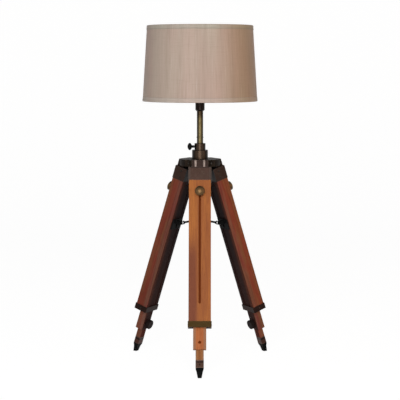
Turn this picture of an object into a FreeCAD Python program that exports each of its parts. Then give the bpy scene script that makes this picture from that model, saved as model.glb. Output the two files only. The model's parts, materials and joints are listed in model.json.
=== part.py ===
import FreeCAD, Part
import math
import os

from FreeCAD import Vector

# Tripod table lamp: a drum shade on a brass stem, clamped in a bronze head on three
# telescopic wooden legs that fold together with a small spreader.
# Millimetres, +Z up, origin on the floor at the stem's axis, front leg towards -Y.

# ---- Clearances
running_gap = 0.05       # radial gap of a shaft that turns or slides in its bore
slide_gap = 0.3          # gap between flat faces that slide past each other
knuckle_gap = 0.4        # gap on each side of a leg's knuckle in its notch
eye_gap = 0.8            # gap behind a knuckle's round back

# ---- Stance
leg_azimuths = {"front": -90.0, "right": 30.0, "left": 150.0}
splay = 18.36            # each leg's lean from the vertical, degrees

# ---- Wooden outer leg: a channel that is open towards the lamp's axis
leg_width = 48.0
leg_depth = 29.0
channel_wall = 9.0       # outer wall, which carries the slot
channel_rail = 9.7       # each side rail
leg_edge = 1.0           # rounding of the long edges
leg_start = 13.0         # top of the wood, measured from the hinge along the leg
channel_start = 50.0     # top of the channel, from the hinge
knob_drop = 66.0         # slot knob at rest, from the hinge
slot_travel = 241.9      # how far the knob can go down its slot
slot_width = 4.6
leg_below_slot = 52.1    # wood left under the slot

# ---- Cap, knuckle and band of the outer leg
hinge_offset = 6.43      # hinge axis outward of the leg's centre line
knuckle_width = 35.6
knuckle_radius = 8.3
cap_start = 10.0         # top of the cap, from the hinge
cap_length = 29.1
cap_wall = 1.15
cap_bevel_width = 4.0
cap_bevel_depth = 1.0
rib_spacing = 18.8       # the knuckle's two raised ribs
rib_width = 5.4
rib_height = 1.0
rib_chamfer = 0.8
rib_up = 3.8             # the ribs' tops, above the hinge axis
knuckle_block_up = 5.0   # the knuckle's square part, above the hinge axis
band_wall = 1.5
band_length = 12.8
band_overhang = 0.5      # how far the band reaches past the wood's end

# ---- Middle section, foot rod and foot
middle_depth = 18.2
middle_above_knob = 14.1
middle_below_band = 47.2
middle_edge = 0.8
rod_width = 17.3
rod_depth = 12.4
rod_set_back = 4.1       # the rod's outer face behind the middle section's
rod_inside = 150.0       # length of rod inside the middle section at rest
rod_below_middle = 21.4
rod_drop_travel = 100.0  # how far the rod can be drawn out
rod_lift_travel = 12.0   # and pushed in
rod_bore_spare = 3.0     # bore left above the rod when it is pushed in
rod_tenon_inset = 1.6
rod_tenon_length = 10.0
ferrule_length = 16.5
ferrule_step = 0.15      # how far the ferrule stands proud of the rod
tip_length = 21.0
tip_collar = 2.8         # nearly straight upper part of the tip
tip_collar_taper = 0.4
tip_shoulder = 5.4       # length of the steep slope under it
tip_neck_width = 13.8    # under the steep slope
tip_neck_depth = 9.2
tip_end_width = 7.4
tip_end_depth = 7.8
tip_spare = 3.0          # length cut away at the floor

# ---- Knobs
stud_radius = 2.0
slot_knob_radius = 10.5
slot_knob_neck_radius = 6.5
slot_knob_neck_length = 7.4
slot_knob_rim_length = 6.0
slot_knob_dome_height = 4.0
slot_stud_depth = 12.0   # how far the stud is screwed into the middle section
foot_knob_radius = 10.8
foot_knob_length = 8.0
foot_knob_neck_radius = 5.5
foot_knob_neck_length = 3.0
foot_knob_up = 15.3      # foot knob above the middle section's lower end
foot_screw_tip = 1.0     # how far its screw shows on the outer face
foot_knob_edge = 1.2
grip_groove_radius = 1.3
grip_groove_depth = 0.65
grip_groove_count = 14

# ---- Head
disc_radius = 46.0
disc_thickness = 15.0
disc_edge = 1.5
hinge_radius = 37.0      # hinge axes from the lamp's axis
hinge_below_top = 7.6    # hinge axes under the disc's top face
boss_radius = 17.75
boss_height = 19.9
boss_edge = 1.0
collar_radius = 12.3
collar_height = 14.6
collar_edge = 0.8
bolt_radius = 2.5
bolt_seat = 24.0         # the flats under the hinge bolts' heads, from the leg's plane
bolt_head_radius = 3.9
bolt_head_height = 2.6
bolt_head_dome = 1.0
bolt_flat_margin = 1.0   # flat beside the head
bolt_nut_across = 7.6

# ---- Thumbscrew
thumb_stem_show = 5.5    # between collar and knob
thumb_shoulder_radius = 2.8
thumb_knob_radius = 8.0
thumb_knob_width = 10.0
thumb_rim_width = 2.4
thumb_drop = 7.5         # its axis under the collar's top

# ---- Stem
tube_radius = 7.0
tube_bore_radius = 5.0
tube_below_disc = 20.6
tube_above_collar = 71.1  # up to the lampholder's lower edge
ring_above_collar = 12.0
ring_radius = 7.8
ring_height = 2.2
ring_edge = 0.5
grommet_bore_radius = 3.5
grommet_flange_radius = 6.6
grommet_flange_height = 2.0
grommet_plug_height = 6.0

# ---- Spreader
brace_drop = 138.0       # bracket pins, from the hinge along the leg
brace_pin_inward = 8.3   # bracket pins inward of the leg's inner face
brace_pin_radius = 1.5
bracket_width = 40.0
bracket_plate = 2.0
bracket_above_pin = 8.0
bracket_below_pin = 16.0
bracket_window_above = 4.8
bracket_window_below = 12.8
bracket_ear_width = 3.0
bracket_ear_radius = 4.0
arm_length = 44.8        # pin to pin, at rest
arm_width = 6.0
arm_height = 4.4
arm_eye_radius = 3.5
arm_side_gap = 0.4
arm_slot_run = 8.6       # how far the open pivot's slot runs inward of the pin
arm_slot_spare = 0.4     # and outward
arm_slot_play = 1.3      # the slot's gap above and below the pin
arm_slot_wall = 1.3
hub_radius = 13.0
hub_pin_radius_out = 9.0  # the hub's pins from the lamp's axis
hub_core_radius = 4.8
hub_below_pins = 4.6
hub_above_pins = 5.8
hub_edge = 0.8
hub_pin_sunk = 0.5       # how far the pins' ends lie under the hub's rim

# ---- Lampholder
holder_inside = 16.0     # how far the tube goes up into the lampholder
holder_neck_radius = 10.3
holder_neck_length = 20.0
holder_lip_radius = 7.9
holder_lip_length = 2.6
holder_radius = 19.0
holder_flare_length = 6.5
holder_wall = 1.5
holder_cap_rim = 4.0
holder_shell_length = 32.0
holder_flange_radius = 23.0
holder_flange_start = 3.0
holder_flange_height = 2.5
holder_edge = 1.0
holder_step = 2.0        # slope from the shell's lower bore to its narrower thread
insert_radius = 15.0
insert_height = 7.0
insert_bore_radius = 3.0
contact_height = 2.6
contact_radius = 2.6
shade_nut_radius = 24.0
shade_nut_height = 5.0
shade_nut_groove_count = 24
shade_nut_count = 2
shade_nut_groove_radius = 0.9

# ---- Bulb
bulb_cap_radius = 13.2
bulb_cap_gap = 0.6       # gap round the bulb's cap in the shell
bulb_cap_length = 24.0
bulb_tip_radius = 5.0
bulb_tip_length = 2.4
bulb_skirt_radius = 8.0  # where the insulated tip meets the metal
bulb_skirt_height = 2.5
bulb_thread_depth = 0.9
bulb_thread_pitch = 3.6
bulb_threads = 5
bulb_radius = 30.0
bulb_centre_above_cap = 51.0
bulb_neck_radius = 12.6
bulb_glass_wall = 0.9
bulb_neck_inside = 3.0
filament_post_radius = 3.0
filament_post_length = 30.0
filament_radius = 0.9
filament_wire_radius = 0.6
filament_below_post_top = 2.0
filament_length = 30.0
filament_count = 4
filament_circle_low = 4.5
filament_circle_high = 11.0

# ---- Shade
shade_rise = 22.0        # the shade's lower edge above the lampholder's
shade_height = 165.4
shade_bottom_radius = 127.0
shade_top_radius = 117.0
tape_height = 10.0
tape_thickness = 0.4
tape_glue = 0.05         # between a tape and the fabric
fabric_thickness = 0.6
liner_thickness = 0.6
wire_radius = 1.75
wire_from_edge = 3.5
spider_ring_width = 3.2
spider_ring_thickness = 2.0
spider_arm_count = 3

# ---- Places that follow from the sizes above
origin = Vector(0, 0, 0)
lean = math.radians(splay)
half_depth = leg_depth / 2
slot_end = knob_drop + slot_travel
leg_end = slot_end + leg_below_slot
band_start = leg_end + band_overhang - band_length
channel_width = leg_width - 2 * channel_rail
channel_floor = half_depth - channel_wall
middle_width = channel_width - 2 * slide_gap
middle_outer = channel_floor - slide_gap
middle_inner = middle_outer - middle_depth
middle_start = knob_drop - middle_above_knob
middle_end = leg_end + middle_below_band
rod_outer = middle_outer - rod_set_back
rod_inner = rod_outer - rod_depth
rod_centre = (rod_outer + rod_inner) / 2
rod_start = middle_end - rod_inside
ferrule_start = middle_end + rod_below_middle
tip_start = ferrule_start + ferrule_length
foot_reach = tip_start + tip_length
foot_knob_drop = middle_end - foot_knob_up
bracket_face = -half_depth - bracket_plate
brace_pin_offset = -half_depth - brace_pin_inward

hinge_height = (foot_reach * math.cos(lean)
                + (hinge_offset - rod_centre) * math.sin(lean))
disc_top = hinge_height + hinge_below_top
disc_bottom = disc_top - disc_thickness
boss_top = disc_top + boss_height
collar_top = boss_top + collar_height
thumb_height = collar_top - thumb_drop
notch_floor = hinge_radius - knuckle_radius - eye_gap
notch_width = knuckle_width + 2 * knuckle_gap
tube_bottom = disc_bottom - tube_below_disc
holder_bottom = collar_top + tube_above_collar
tube_top = holder_bottom + holder_inside

bracket_pin_r = (hinge_radius + brace_drop * math.sin(lean)
                 + (brace_pin_offset - hinge_offset) * math.cos(lean))
bracket_pin_z = (hinge_height - brace_drop * math.cos(lean)
                 + (brace_pin_offset - hinge_offset) * math.sin(lean))
arm_run = bracket_pin_r - hub_pin_radius_out
arm_rise = math.sqrt(arm_length ** 2 - arm_run ** 2)
arm_slope = math.degrees(math.atan2(arm_rise, arm_run))
hub_pin_z = bracket_pin_z + arm_rise

holder_flare_bottom = holder_bottom + holder_neck_length
holder_rim_bottom = holder_flare_bottom + holder_flare_length
holder_cap_top = holder_rim_bottom + holder_cap_rim
holder_top = holder_cap_top + holder_shell_length
flange_bottom = holder_cap_top + holder_flange_start
flange_top = flange_bottom + holder_flange_height
insert_top = holder_cap_top + insert_height
bulb_bottom = insert_top + contact_height
bulb_cap_bottom = bulb_bottom + bulb_tip_length
bulb_cap_top = bulb_cap_bottom + bulb_cap_length
bulb_centre = bulb_cap_top + bulb_centre_above_cap
shade_bottom = holder_bottom + shade_rise
shade_top = shade_bottom + shade_height
spider_bottom = flange_top
spider_top = spider_bottom + spider_ring_thickness


# ---- Plain shapes
def box(x_low, x_high, y_low, y_high, z_low, z_high):
    """A box between two limits along each axis."""
    corner = Vector(x_low, y_low, z_low)
    return Part.makeBox(x_high - x_low, y_high - y_low, z_high - z_low, corner)


def slab(x_low, x_high, width, down_from, down_to):
    """A box in a leg's frame, centred across the leg, between two distances down the leg."""
    return box(x_low, x_high, -width / 2, width / 2, -down_to, -down_from)


def upright(radius, z_low, z_high):
    """A cylinder about the lamp's axis."""
    return Part.makeCylinder(radius, z_high - z_low, Vector(0, 0, z_low))


def tube(outer, inner, z_low, z_high):
    """A round tube about the lamp's axis."""
    return upright(outer, z_low, z_high).cut(upright(inner, z_low, z_high))


def cross_bar(radius, x, z, width):
    """A cylinder across a leg, along Y."""
    return Part.makeCylinder(radius, width, Vector(x, -width / 2, z), Vector(0, 1, 0))


def out_bar(radius, x_low, x_high, z):
    """A cylinder that points outward from a leg, along X."""
    return Part.makeCylinder(radius, x_high - x_low, Vector(x_low, 0, z), Vector(1, 0, 0))


def turned(outline):
    """A solid of revolution about Z from (radius, height) points."""
    points = [Vector(r, 0, z) for r, z in outline]
    wire = Part.makePolygon(points + points[:1])
    return Part.Face(wire).revolve(origin, Vector(0, 0, 1), 360)


def dome(base_radius, height):
    """A spherical cap that stands on z = 0."""
    ball_radius = (base_radius ** 2 + height ** 2) / (2 * height)
    ball = Part.makeSphere(ball_radius, Vector(0, 0, height - ball_radius))
    return ball.common(box(-base_radius, base_radius, -base_radius, base_radius, 0, height))


def frustum_shell(z_low, z_high, outer_inset, inner_inset):
    """A conical band between two insets from the shade's outer surface."""
    def cone(inset):
        low = shade_radius(z_low) - inset
        high = shade_radius(z_high) - inset
        return Part.makeCone(low, high, z_high - z_low, Vector(0, 0, z_low))
    return cone(outer_inset).cut(cone(inner_inset))


def shade_radius(z):
    """The shade's outer radius at a height."""
    share = (z - shade_bottom) / shade_height
    return shade_bottom_radius + (shade_top_radius - shade_bottom_radius) * share


def copies_around(shape, count, first=0.0):
    """Copies of a shape, evenly turned about the lamp's axis."""
    turned_copies = []
    for i in range(count):
        one = shape.copy()
        one.rotate(origin, Vector(0, 0, 1), first + i * 360.0 / count)
        turned_copies.append(one)
    return turned_copies


def long_edges(shape):
    """The edges of a slab that run down the leg."""
    return [e for e in shape.Edges if abs(e.tangentAt(e.FirstParameter).z) > 0.999]


def laid_out(shape, x, z, inward=False):
    """Turns a shape built about Z so that it points outward (or inward) from a leg."""
    out = shape.copy()
    out.rotate(origin, Vector(0, 1, 0), -90 if inward else 90)
    out.translate(Vector(x, 0, z))
    return out


# ---- Placing
def on_leg(shape, azimuth):
    """From a leg's frame (X outward, Y across, -Z down the leg, hinge at z = 0) to its place."""
    out = shape.copy()
    out.translate(Vector(-hinge_offset, 0, 0))
    out.rotate(origin, Vector(0, 1, 0), -splay)
    out.translate(Vector(hinge_radius, 0, hinge_height))
    out.rotate(origin, Vector(0, 0, 1), azimuth)
    return out


def on_spreader(shape, azimuth):
    """From an arm's frame (X along the arm, hub pin at the origin) to its place."""
    out = shape.copy()
    out.rotate(origin, Vector(0, 1, 0), arm_slope)
    out.translate(Vector(hub_pin_radius_out, 0, hub_pin_z))
    out.rotate(origin, Vector(0, 0, 1), azimuth)
    return out


def for_each_leg(shape):
    """A radial shape at azimuth 0, turned to the three legs."""
    out = []
    for azimuth in leg_azimuths.values():
        one = shape.copy()
        one.rotate(origin, Vector(0, 0, 1), azimuth)
        out.append(one)
    return out


# ---- Head
def head_disc():
    """The head's disc with three notches for the knuckles and flats for the bolt heads."""
    disc = upright(disc_radius, disc_bottom, disc_top)
    rims = [e for e in disc.Edges if abs(e.Length - 2 * math.pi * disc_radius) < 0.01]
    disc = disc.makeFillet(disc_edge, rims)
    half_notch = notch_width / 2
    notch = box(notch_floor, disc_radius + 1, -half_notch, half_notch, disc_bottom - 1, disc_top + 1)
    bore = cross_bar(bolt_radius, hinge_radius, hinge_height, 2 * disc_radius)
    flat_start = hinge_radius - bolt_head_radius - bolt_flat_margin
    flats = [box(flat_start, disc_radius + 1, low, high, disc_bottom - 1, disc_top + 1)
             for low, high in ((bolt_seat, disc_radius), (-disc_radius, -bolt_seat))]
    cutter = notch.multiFuse([bore] + flats)
    for one in for_each_leg(cutter):
        disc = disc.cut(one)
    return disc.cut(upright(tube_radius + running_gap, disc_bottom - 1, disc_top + 1))


def head_boss():
    """The tall round boss on the disc."""
    bore = tube_radius + running_gap
    return turned([(bore, disc_top), (boss_radius, disc_top), (boss_radius, boss_top - boss_edge),
                   (boss_radius - boss_edge, boss_top), (bore, boss_top)])


def clamp_collar():
    """The collar that clamps the stem, with the thumbscrew's hole."""
    bore = tube_radius + running_gap
    collar = turned([(bore, boss_top), (collar_radius, boss_top),
                     (collar_radius, collar_top - collar_edge),
                     (collar_radius - collar_edge, collar_top), (bore, collar_top)])
    hole = out_bar(stud_radius + running_gap, -collar_radius - 1, 0, thumb_height)
    return collar.cut(hole)


def hinge_bolt():
    """One hinge bolt with its domed head, across a leg at azimuth 0."""
    shank = Part.makeCylinder(bolt_radius, 2 * bolt_seat, Vector(0, 0, 0))
    rim = Part.makeCylinder(bolt_head_radius, bolt_head_height - bolt_head_dome,
                            Vector(0, 0, 2 * bolt_seat))
    crown = dome(bolt_head_radius, bolt_head_dome)
    crown.translate(Vector(0, 0, 2 * bolt_seat + bolt_head_height - bolt_head_dome))
    bolt = shank.multiFuse([rim, crown])
    bolt.rotate(origin, Vector(1, 0, 0), -90)
    bolt.translate(Vector(hinge_radius, -bolt_seat, hinge_height))
    return bolt


def hinge_nut():
    """One hexagon nut, seated on the flat opposite the bolt's head."""
    corner = bolt_nut_across / math.sqrt(3)
    ring = [Vector(corner * math.cos(math.radians(60 * i)), 0, corner * math.sin(math.radians(60 * i)))
            for i in range(7)]
    nut = Part.Face(Part.makePolygon(ring)).extrude(Vector(0, -bolt_head_height, 0))
    nut.translate(Vector(hinge_radius, -bolt_seat, hinge_height))
    return nut


def thumbscrew():
    """The stem clamp's screw with its lens-shaped knob, pointing to -X."""
    start = tube_radius + slide_gap
    knob_start = collar_radius + thumb_stem_show
    rim_low = knob_start + (thumb_knob_width - thumb_rim_width) / 2
    rim_high = rim_low + thumb_rim_width
    bulge = (thumb_knob_width - thumb_rim_width) / 2
    shank = Part.makeCylinder(stud_radius, rim_low - start, Vector(0, 0, start))
    shoulder_start = collar_radius + slide_gap
    shoulder = Part.makeCylinder(thumb_shoulder_radius, rim_low - shoulder_start,
                                 Vector(0, 0, shoulder_start))
    rim = Part.makeCylinder(thumb_knob_radius, thumb_rim_width, Vector(0, 0, rim_low))
    outer = dome(thumb_knob_radius, bulge)
    inner = outer.mirror(origin, Vector(0, 0, 1))
    outer.translate(Vector(0, 0, rim_high))
    inner.translate(Vector(0, 0, rim_low))
    screw = shank.multiFuse([shoulder, rim, outer, inner])
    screw.rotate(origin, Vector(0, 1, 0), -90)
    screw.translate(Vector(0, 0, thumb_height))
    return screw


# ---- Stem
def stem_tube():
    """The brass tube through the head."""
    return tube(tube_radius, tube_bore_radius, tube_bottom, tube_top)


def stop_ring():
    """A thin ring on the tube that stops it sinking through the collar."""
    low = collar_top + ring_above_collar
    high = low + ring_height
    waist = ring_radius - ring_edge
    return turned([(tube_radius, low), (waist, low), (ring_radius, low + ring_edge),
                   (ring_radius, high - ring_edge), (waist, high), (tube_radius, high)])


def cord_grommet():
    """The rubber bush in the tube's lower end, where the cord comes in."""
    top = tube_bottom + grommet_plug_height
    low = tube_bottom - grommet_flange_height
    return turned([(grommet_bore_radius, low), (grommet_flange_radius, low),
                   (grommet_flange_radius, tube_bottom), (tube_bore_radius, tube_bottom),
                   (tube_bore_radius, top), (grommet_bore_radius, top)])


# ---- Lampholder
def holder_cap():
    """The lampholder's lower cap: a neck round the tube that flares out to the shell."""
    inside = holder_radius - holder_wall
    neck_inside = holder_neck_radius - holder_wall
    return turned([
        (tube_radius, holder_bottom), (holder_lip_radius, holder_bottom),
        (holder_neck_radius, holder_bottom + holder_lip_length),
        (holder_neck_radius, holder_flare_bottom), (holder_radius, holder_rim_bottom),
        (holder_radius, holder_cap_top), (inside, holder_cap_top), (inside, holder_rim_bottom),
        (neck_inside, holder_flare_bottom), (neck_inside, tube_top), (tube_radius, tube_top)])


def holder_shell():
    """The threaded shell with the flange that the shade rests on."""
    inside = holder_radius - holder_wall
    bulb_way = bulb_cap_radius + bulb_cap_gap
    return turned([
        (inside, holder_cap_top), (holder_radius, holder_cap_top), (holder_radius, flange_bottom),
        (holder_flange_radius, flange_bottom), (holder_flange_radius, flange_top),
        (holder_radius, flange_top), (holder_radius, holder_top - holder_edge),
        (holder_radius - holder_edge, holder_top), (bulb_way, holder_top),
        (bulb_way, insert_top + holder_step), (inside, insert_top)])


def holder_insert():
    """The insulating block in the shell that carries the contacts."""
    block = tube(holder_radius - holder_wall, insert_bore_radius, holder_cap_top, insert_top)
    seat = tube(insert_radius, tube_radius, holder_rim_bottom, holder_cap_top)
    return block.fuse(seat)


def holder_contact():
    """The spring contact in the block's middle that meets the bulb's tip."""
    pin = upright(insert_bore_radius, holder_cap_top, insert_top)
    head = upright(contact_radius, insert_top, bulb_bottom)
    return pin.fuse(head)


def shade_nuts():
    """Equal grooved rings that lock the shade's ring on the lampholder."""
    grooves = copies_around(
        Part.makeCylinder(shade_nut_groove_radius, shade_nut_height, Vector(shade_nut_radius, 0, 0)),
        shade_nut_groove_count)
    nut = tube(shade_nut_radius, holder_radius, 0, shade_nut_height).cut(Part.makeCompound(grooves))
    nuts = []
    for i in range(shade_nut_count):
        one = nut.copy()
        one.translate(Vector(0, 0, spider_top + i * shade_nut_height))
        nuts.append(one)
    return Part.makeCompound(nuts)


# ---- Bulb
def bulb_cap():
    """The bulb's screw cap with a few rounded threads and an insulated tip."""
    root = bulb_cap_radius - bulb_thread_depth
    outline = [(0, bulb_bottom), (bulb_tip_radius, bulb_bottom), (bulb_skirt_radius, bulb_cap_bottom)]
    z = bulb_cap_bottom + bulb_skirt_height
    for _ in range(bulb_threads):
        outline.append((root, z))
        outline.append((bulb_cap_radius, z + bulb_thread_pitch / 2))
        z += bulb_thread_pitch
    outline.append((root, z))
    outline.append((bulb_cap_radius, bulb_cap_top))
    outline.append((bulb_neck_radius, bulb_cap_top))
    outline.append((bulb_neck_radius, bulb_cap_top - bulb_neck_inside))
    outline.append((0, bulb_cap_top - bulb_neck_inside))
    return turned(outline)


def bulb_envelope(inset):
    """The glass outline, drawn in by an inset: a ball with a neck tangent to it."""
    ball = bulb_radius - inset
    neck = bulb_neck_radius - inset
    foot = bulb_cap_top - bulb_neck_inside
    drop = foot - bulb_centre
    reach = math.hypot(neck, drop)
    angle = math.atan2(drop, neck) + math.acos(ball / reach)
    middle_angle = (angle + math.pi / 2) / 2

    def on_ball(a):
        return Vector(ball * math.cos(a), 0, bulb_centre + ball * math.sin(a))
    top = Vector(0, 0, bulb_centre + ball)
    edges = [Part.makeLine(Vector(0, 0, foot), Vector(neck, 0, foot)),
             Part.makeLine(Vector(neck, 0, foot), on_ball(angle)),
             Part.Arc(on_ball(angle), on_ball(middle_angle), top).toShape(),
             Part.makeLine(top, Vector(0, 0, foot))]
    return Part.Face(Part.Wire(edges)).revolve(origin, Vector(0, 0, 1), 360)


def bulb_glass():
    """The clear glass envelope."""
    return bulb_envelope(0).cut(bulb_envelope(bulb_glass_wall))


def bulb_filament():
    """The glass post with slender filaments that fan out from it."""
    foot = bulb_cap_top - bulb_neck_inside
    post_top = foot + filament_post_length
    post = upright(filament_post_radius, foot, post_top)
    foot_wire_z = post_top - filament_below_post_top
    low = Vector(filament_circle_low, 0, foot_wire_z)
    high = Vector(filament_circle_high, 0, foot_wire_z + filament_length)
    rod = Part.makeCylinder(filament_radius, (high - low).Length, low, high - low)
    foot_wire = Part.makeCylinder(filament_wire_radius, filament_circle_low + filament_radius,
                                  Vector(0, 0, foot_wire_z), Vector(1, 0, 0))
    rods = copies_around(rod.fuse(foot_wire), filament_count)
    return post.multiFuse(rods)


# ---- Shade
def shade_ring(edge_z, up):
    """A wire ring inside the liner, near one edge of the shade."""
    z = edge_z + up * wire_from_edge
    slope = (shade_bottom_radius - shade_top_radius) / shade_height
    lean_back = wire_radius * math.sqrt(1 + slope ** 2)
    inset = tape_thickness + fabric_thickness + liner_thickness
    return Part.makeTorus(shade_radius(z) - inset - lean_back, wire_radius, Vector(0, 0, z))


def shade_spider():
    """The ring over the lampholder with wire arms out to the shade's lower ring."""
    ring_out = holder_radius + spider_ring_width
    ring = tube(ring_out, holder_radius, spider_bottom, spider_top)
    ring_z = shade_bottom + wire_from_edge
    start = Vector(ring_out - wire_radius, 0, spider_top - wire_radius)
    end = Vector(shade_radius(ring_z) - wire_radius * 2, 0, ring_z)
    arm = Part.makeCylinder(wire_radius, (end - start).Length, start, end - start)
    arm = arm.cut(shade_ring(shade_bottom, 1))
    arm = max(arm.Solids, key=lambda s: s.Volume)
    arm = arm.cut(upright(holder_flange_radius + wire_radius, flange_bottom, flange_top))
    arm = arm.cut(upright(shade_nut_radius, spider_top, holder_top))
    arms = copies_around(arm, spider_arm_count, leg_azimuths["right"])
    return ring.multiFuse(arms)


def shade_liner():
    """The stiff liner that carries the fabric."""
    inset = tape_thickness + fabric_thickness
    return frustum_shell(shade_bottom, shade_top, inset, inset + liner_thickness)


def shade_fabric():
    """The stretched fabric skin."""
    inset = tape_thickness
    return frustum_shell(shade_bottom, shade_top, inset, inset + fabric_thickness)


def shade_tape(z_low, z_high):
    """A fabric tape round one edge of the shade."""
    return frustum_shell(z_low, z_high, 0, tape_thickness - tape_glue)


# ---- Leg pieces, each in the leg's own frame
def wood_channel():
    """The outer leg: a channel with the slot for its knob."""
    leg = slab(-half_depth, half_depth, leg_width, leg_start, leg_end)
    leg = leg.makeFillet(leg_edge, long_edges(leg))
    channel = slab(-half_depth - 1, channel_floor, channel_width, channel_start, leg_end + 1)
    slot = slab(channel_floor - 1, half_depth + 1, slot_width, knob_drop, slot_end)
    for drop in (knob_drop, slot_end):
        slot = slot.fuse(out_bar(slot_width / 2, channel_floor - 1, half_depth + 1, -drop))
    return leg.cut(channel).cut(slot)


def leg_cap():
    """The metal cap on the leg's top, with the knuckle that hinges in the head."""
    out = half_depth + cap_wall
    wide = leg_width + 2 * cap_wall
    cap_end = cap_start + cap_length
    shell = slab(-out, out, wide, cap_start, cap_end)
    wedges = []
    for side in (-1, 1):
        outer = side * wide / 2
        inner = outer - side * cap_bevel_width
        corner = [Vector(out, inner, 0), Vector(out, outer, 0), Vector(out - cap_bevel_depth, outer, 0)]
        wedge = Part.Face(Part.makePolygon(corner + corner[:1]))
        wedge = wedge.extrude(Vector(0, 0, -cap_length))
        wedge.translate(Vector(0, 0, -cap_start))
        wedges.append(wedge)
    shell = shell.cut(Part.makeCompound(wedges))
    pocket = slab(-half_depth, half_depth, leg_width, leg_start, cap_end + 1)
    pocket = pocket.makeFillet(leg_edge, long_edges(pocket))
    shell = shell.cut(pocket)
    face = hinge_offset + knuckle_radius
    eye = cross_bar(knuckle_radius, hinge_offset, 0, knuckle_width)
    block = slab(hinge_offset, face, knuckle_width, -knuckle_block_up, cap_start + 1)
    web = slab(hinge_offset - knuckle_radius, hinge_offset, knuckle_width, 0, cap_start + 1)
    knuckle = eye.multiFuse([block, web])
    for side in (-1, 1):
        rib = slab(face - 1, face + rib_height, rib_width, -rib_up, cap_start + 1)
        rib.translate(Vector(0, side * rib_spacing / 2, 0))
        tops = [e for e in rib.Edges if abs(e.CenterOfMass.x - face - rib_height) < 1e-6]
        rib = rib.makeChamfer(rib_chamfer, tops)
        knuckle = knuckle.fuse(rib)
    cap = shell.fuse(knuckle)
    return cap.cut(cross_bar(bolt_radius + running_gap, hinge_offset, 0, knuckle_width + 2))


def leg_band():
    """The metal band round the leg's lower end."""
    out = half_depth + band_wall
    band = slab(-out, out, leg_width + 2 * band_wall, band_start, band_start + band_length)
    hole = slab(-half_depth, half_depth, leg_width, band_start - 1, band_start + band_length + 1)
    hole = hole.makeFillet(leg_edge, long_edges(hole))
    return band.makeFillet(leg_edge, long_edges(band)).cut(hole)


def brace_bracket():
    """The bridge across the channel with two ears and the pin of a spreader arm."""
    ear_gap = arm_width + 2 * arm_side_gap
    plate = slab(bracket_face, -half_depth, bracket_width,
                 brace_drop - bracket_above_pin, brace_drop + bracket_below_pin)
    window = slab(bracket_face - 1, -half_depth + 1, ear_gap,
                  brace_drop - bracket_window_above, brace_drop + bracket_window_below)
    plate = plate.cut(window)
    ears_width = ear_gap + 2 * bracket_ear_width
    ears = slab(brace_pin_offset, bracket_face, ears_width,
                brace_drop - bracket_ear_radius, brace_drop + bracket_ear_radius)
    ears = ears.fuse(cross_bar(bracket_ear_radius, brace_pin_offset, -brace_drop, ears_width))
    reach = bracket_ear_radius + 1
    gap = slab(brace_pin_offset - reach, bracket_face, ear_gap, brace_drop - reach, brace_drop + reach)
    pin = cross_bar(brace_pin_radius, brace_pin_offset, -brace_drop, ears_width)
    return plate.multiFuse([ears.cut(gap), pin])


def middle_section():
    """The sliding wooden section, bored for the foot rod."""
    block = slab(middle_inner, middle_outer, middle_width, middle_start, middle_end)
    block = block.makeFillet(middle_edge, long_edges(block))
    bore_start = rod_start - rod_lift_travel - rod_bore_spare
    bore = slab(rod_inner - slide_gap, rod_outer + slide_gap, rod_width + 2 * slide_gap,
                bore_start, middle_end + 1)
    stud = out_bar(stud_radius + running_gap, middle_outer - slot_stud_depth - 1,
                   middle_outer + 1, -knob_drop)
    screw = out_bar(stud_radius + running_gap, middle_inner - 1, middle_outer + 1, -foot_knob_drop)
    return block.cut(bore).cut(stud).cut(screw)


def slot_knob():
    """The domed knob and stud that clamp the middle section through the slot."""
    seat = half_depth + slide_gap
    shank_length = seat - (middle_outer - slot_stud_depth)
    rim_low = slot_knob_neck_length
    shank = Part.makeCylinder(stud_radius, shank_length, Vector(0, 0, -shank_length))
    neck = Part.makeCylinder(slot_knob_neck_radius, slot_knob_neck_length)
    rim = Part.makeCylinder(slot_knob_radius, slot_knob_rim_length, Vector(0, 0, rim_low))
    crown = dome(slot_knob_radius, slot_knob_dome_height)
    crown.translate(Vector(0, 0, rim_low + slot_knob_rim_length))
    return laid_out(shank.multiFuse([neck, rim, crown]), seat, -knob_drop)


def foot_rod():
    """The wooden rod that slides in the middle section, slotted for the foot screw."""
    rod = slab(rod_inner, rod_outer, rod_width, rod_start, ferrule_start)
    tenon = slab(rod_inner + rod_tenon_inset, rod_outer - rod_tenon_inset,
                 rod_width - 2 * rod_tenon_inset, ferrule_start - 1, ferrule_start + rod_tenon_length)
    rod = rod.fuse(tenon)
    slot_low = foot_knob_drop - rod_drop_travel
    slot_high = foot_knob_drop + rod_lift_travel
    slot = slab(rod_inner - 1, rod_outer + 1, slot_width, slot_low, slot_high)
    for drop in (slot_low, slot_high):
        slot = slot.fuse(out_bar(slot_width / 2, rod_inner - 1, rod_outer + 1, -drop))
    return rod.cut(slot)


def foot_ferrule():
    """The metal ferrule on the rod's tenon."""
    block = slab(rod_inner - ferrule_step, rod_outer + ferrule_step, rod_width + 2 * ferrule_step,
                 ferrule_start, tip_start)
    socket = slab(rod_inner + rod_tenon_inset, rod_outer - rod_tenon_inset,
                  rod_width - 2 * rod_tenon_inset, ferrule_start - 1, ferrule_start + rod_tenon_length)
    return block.cut(socket)


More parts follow.
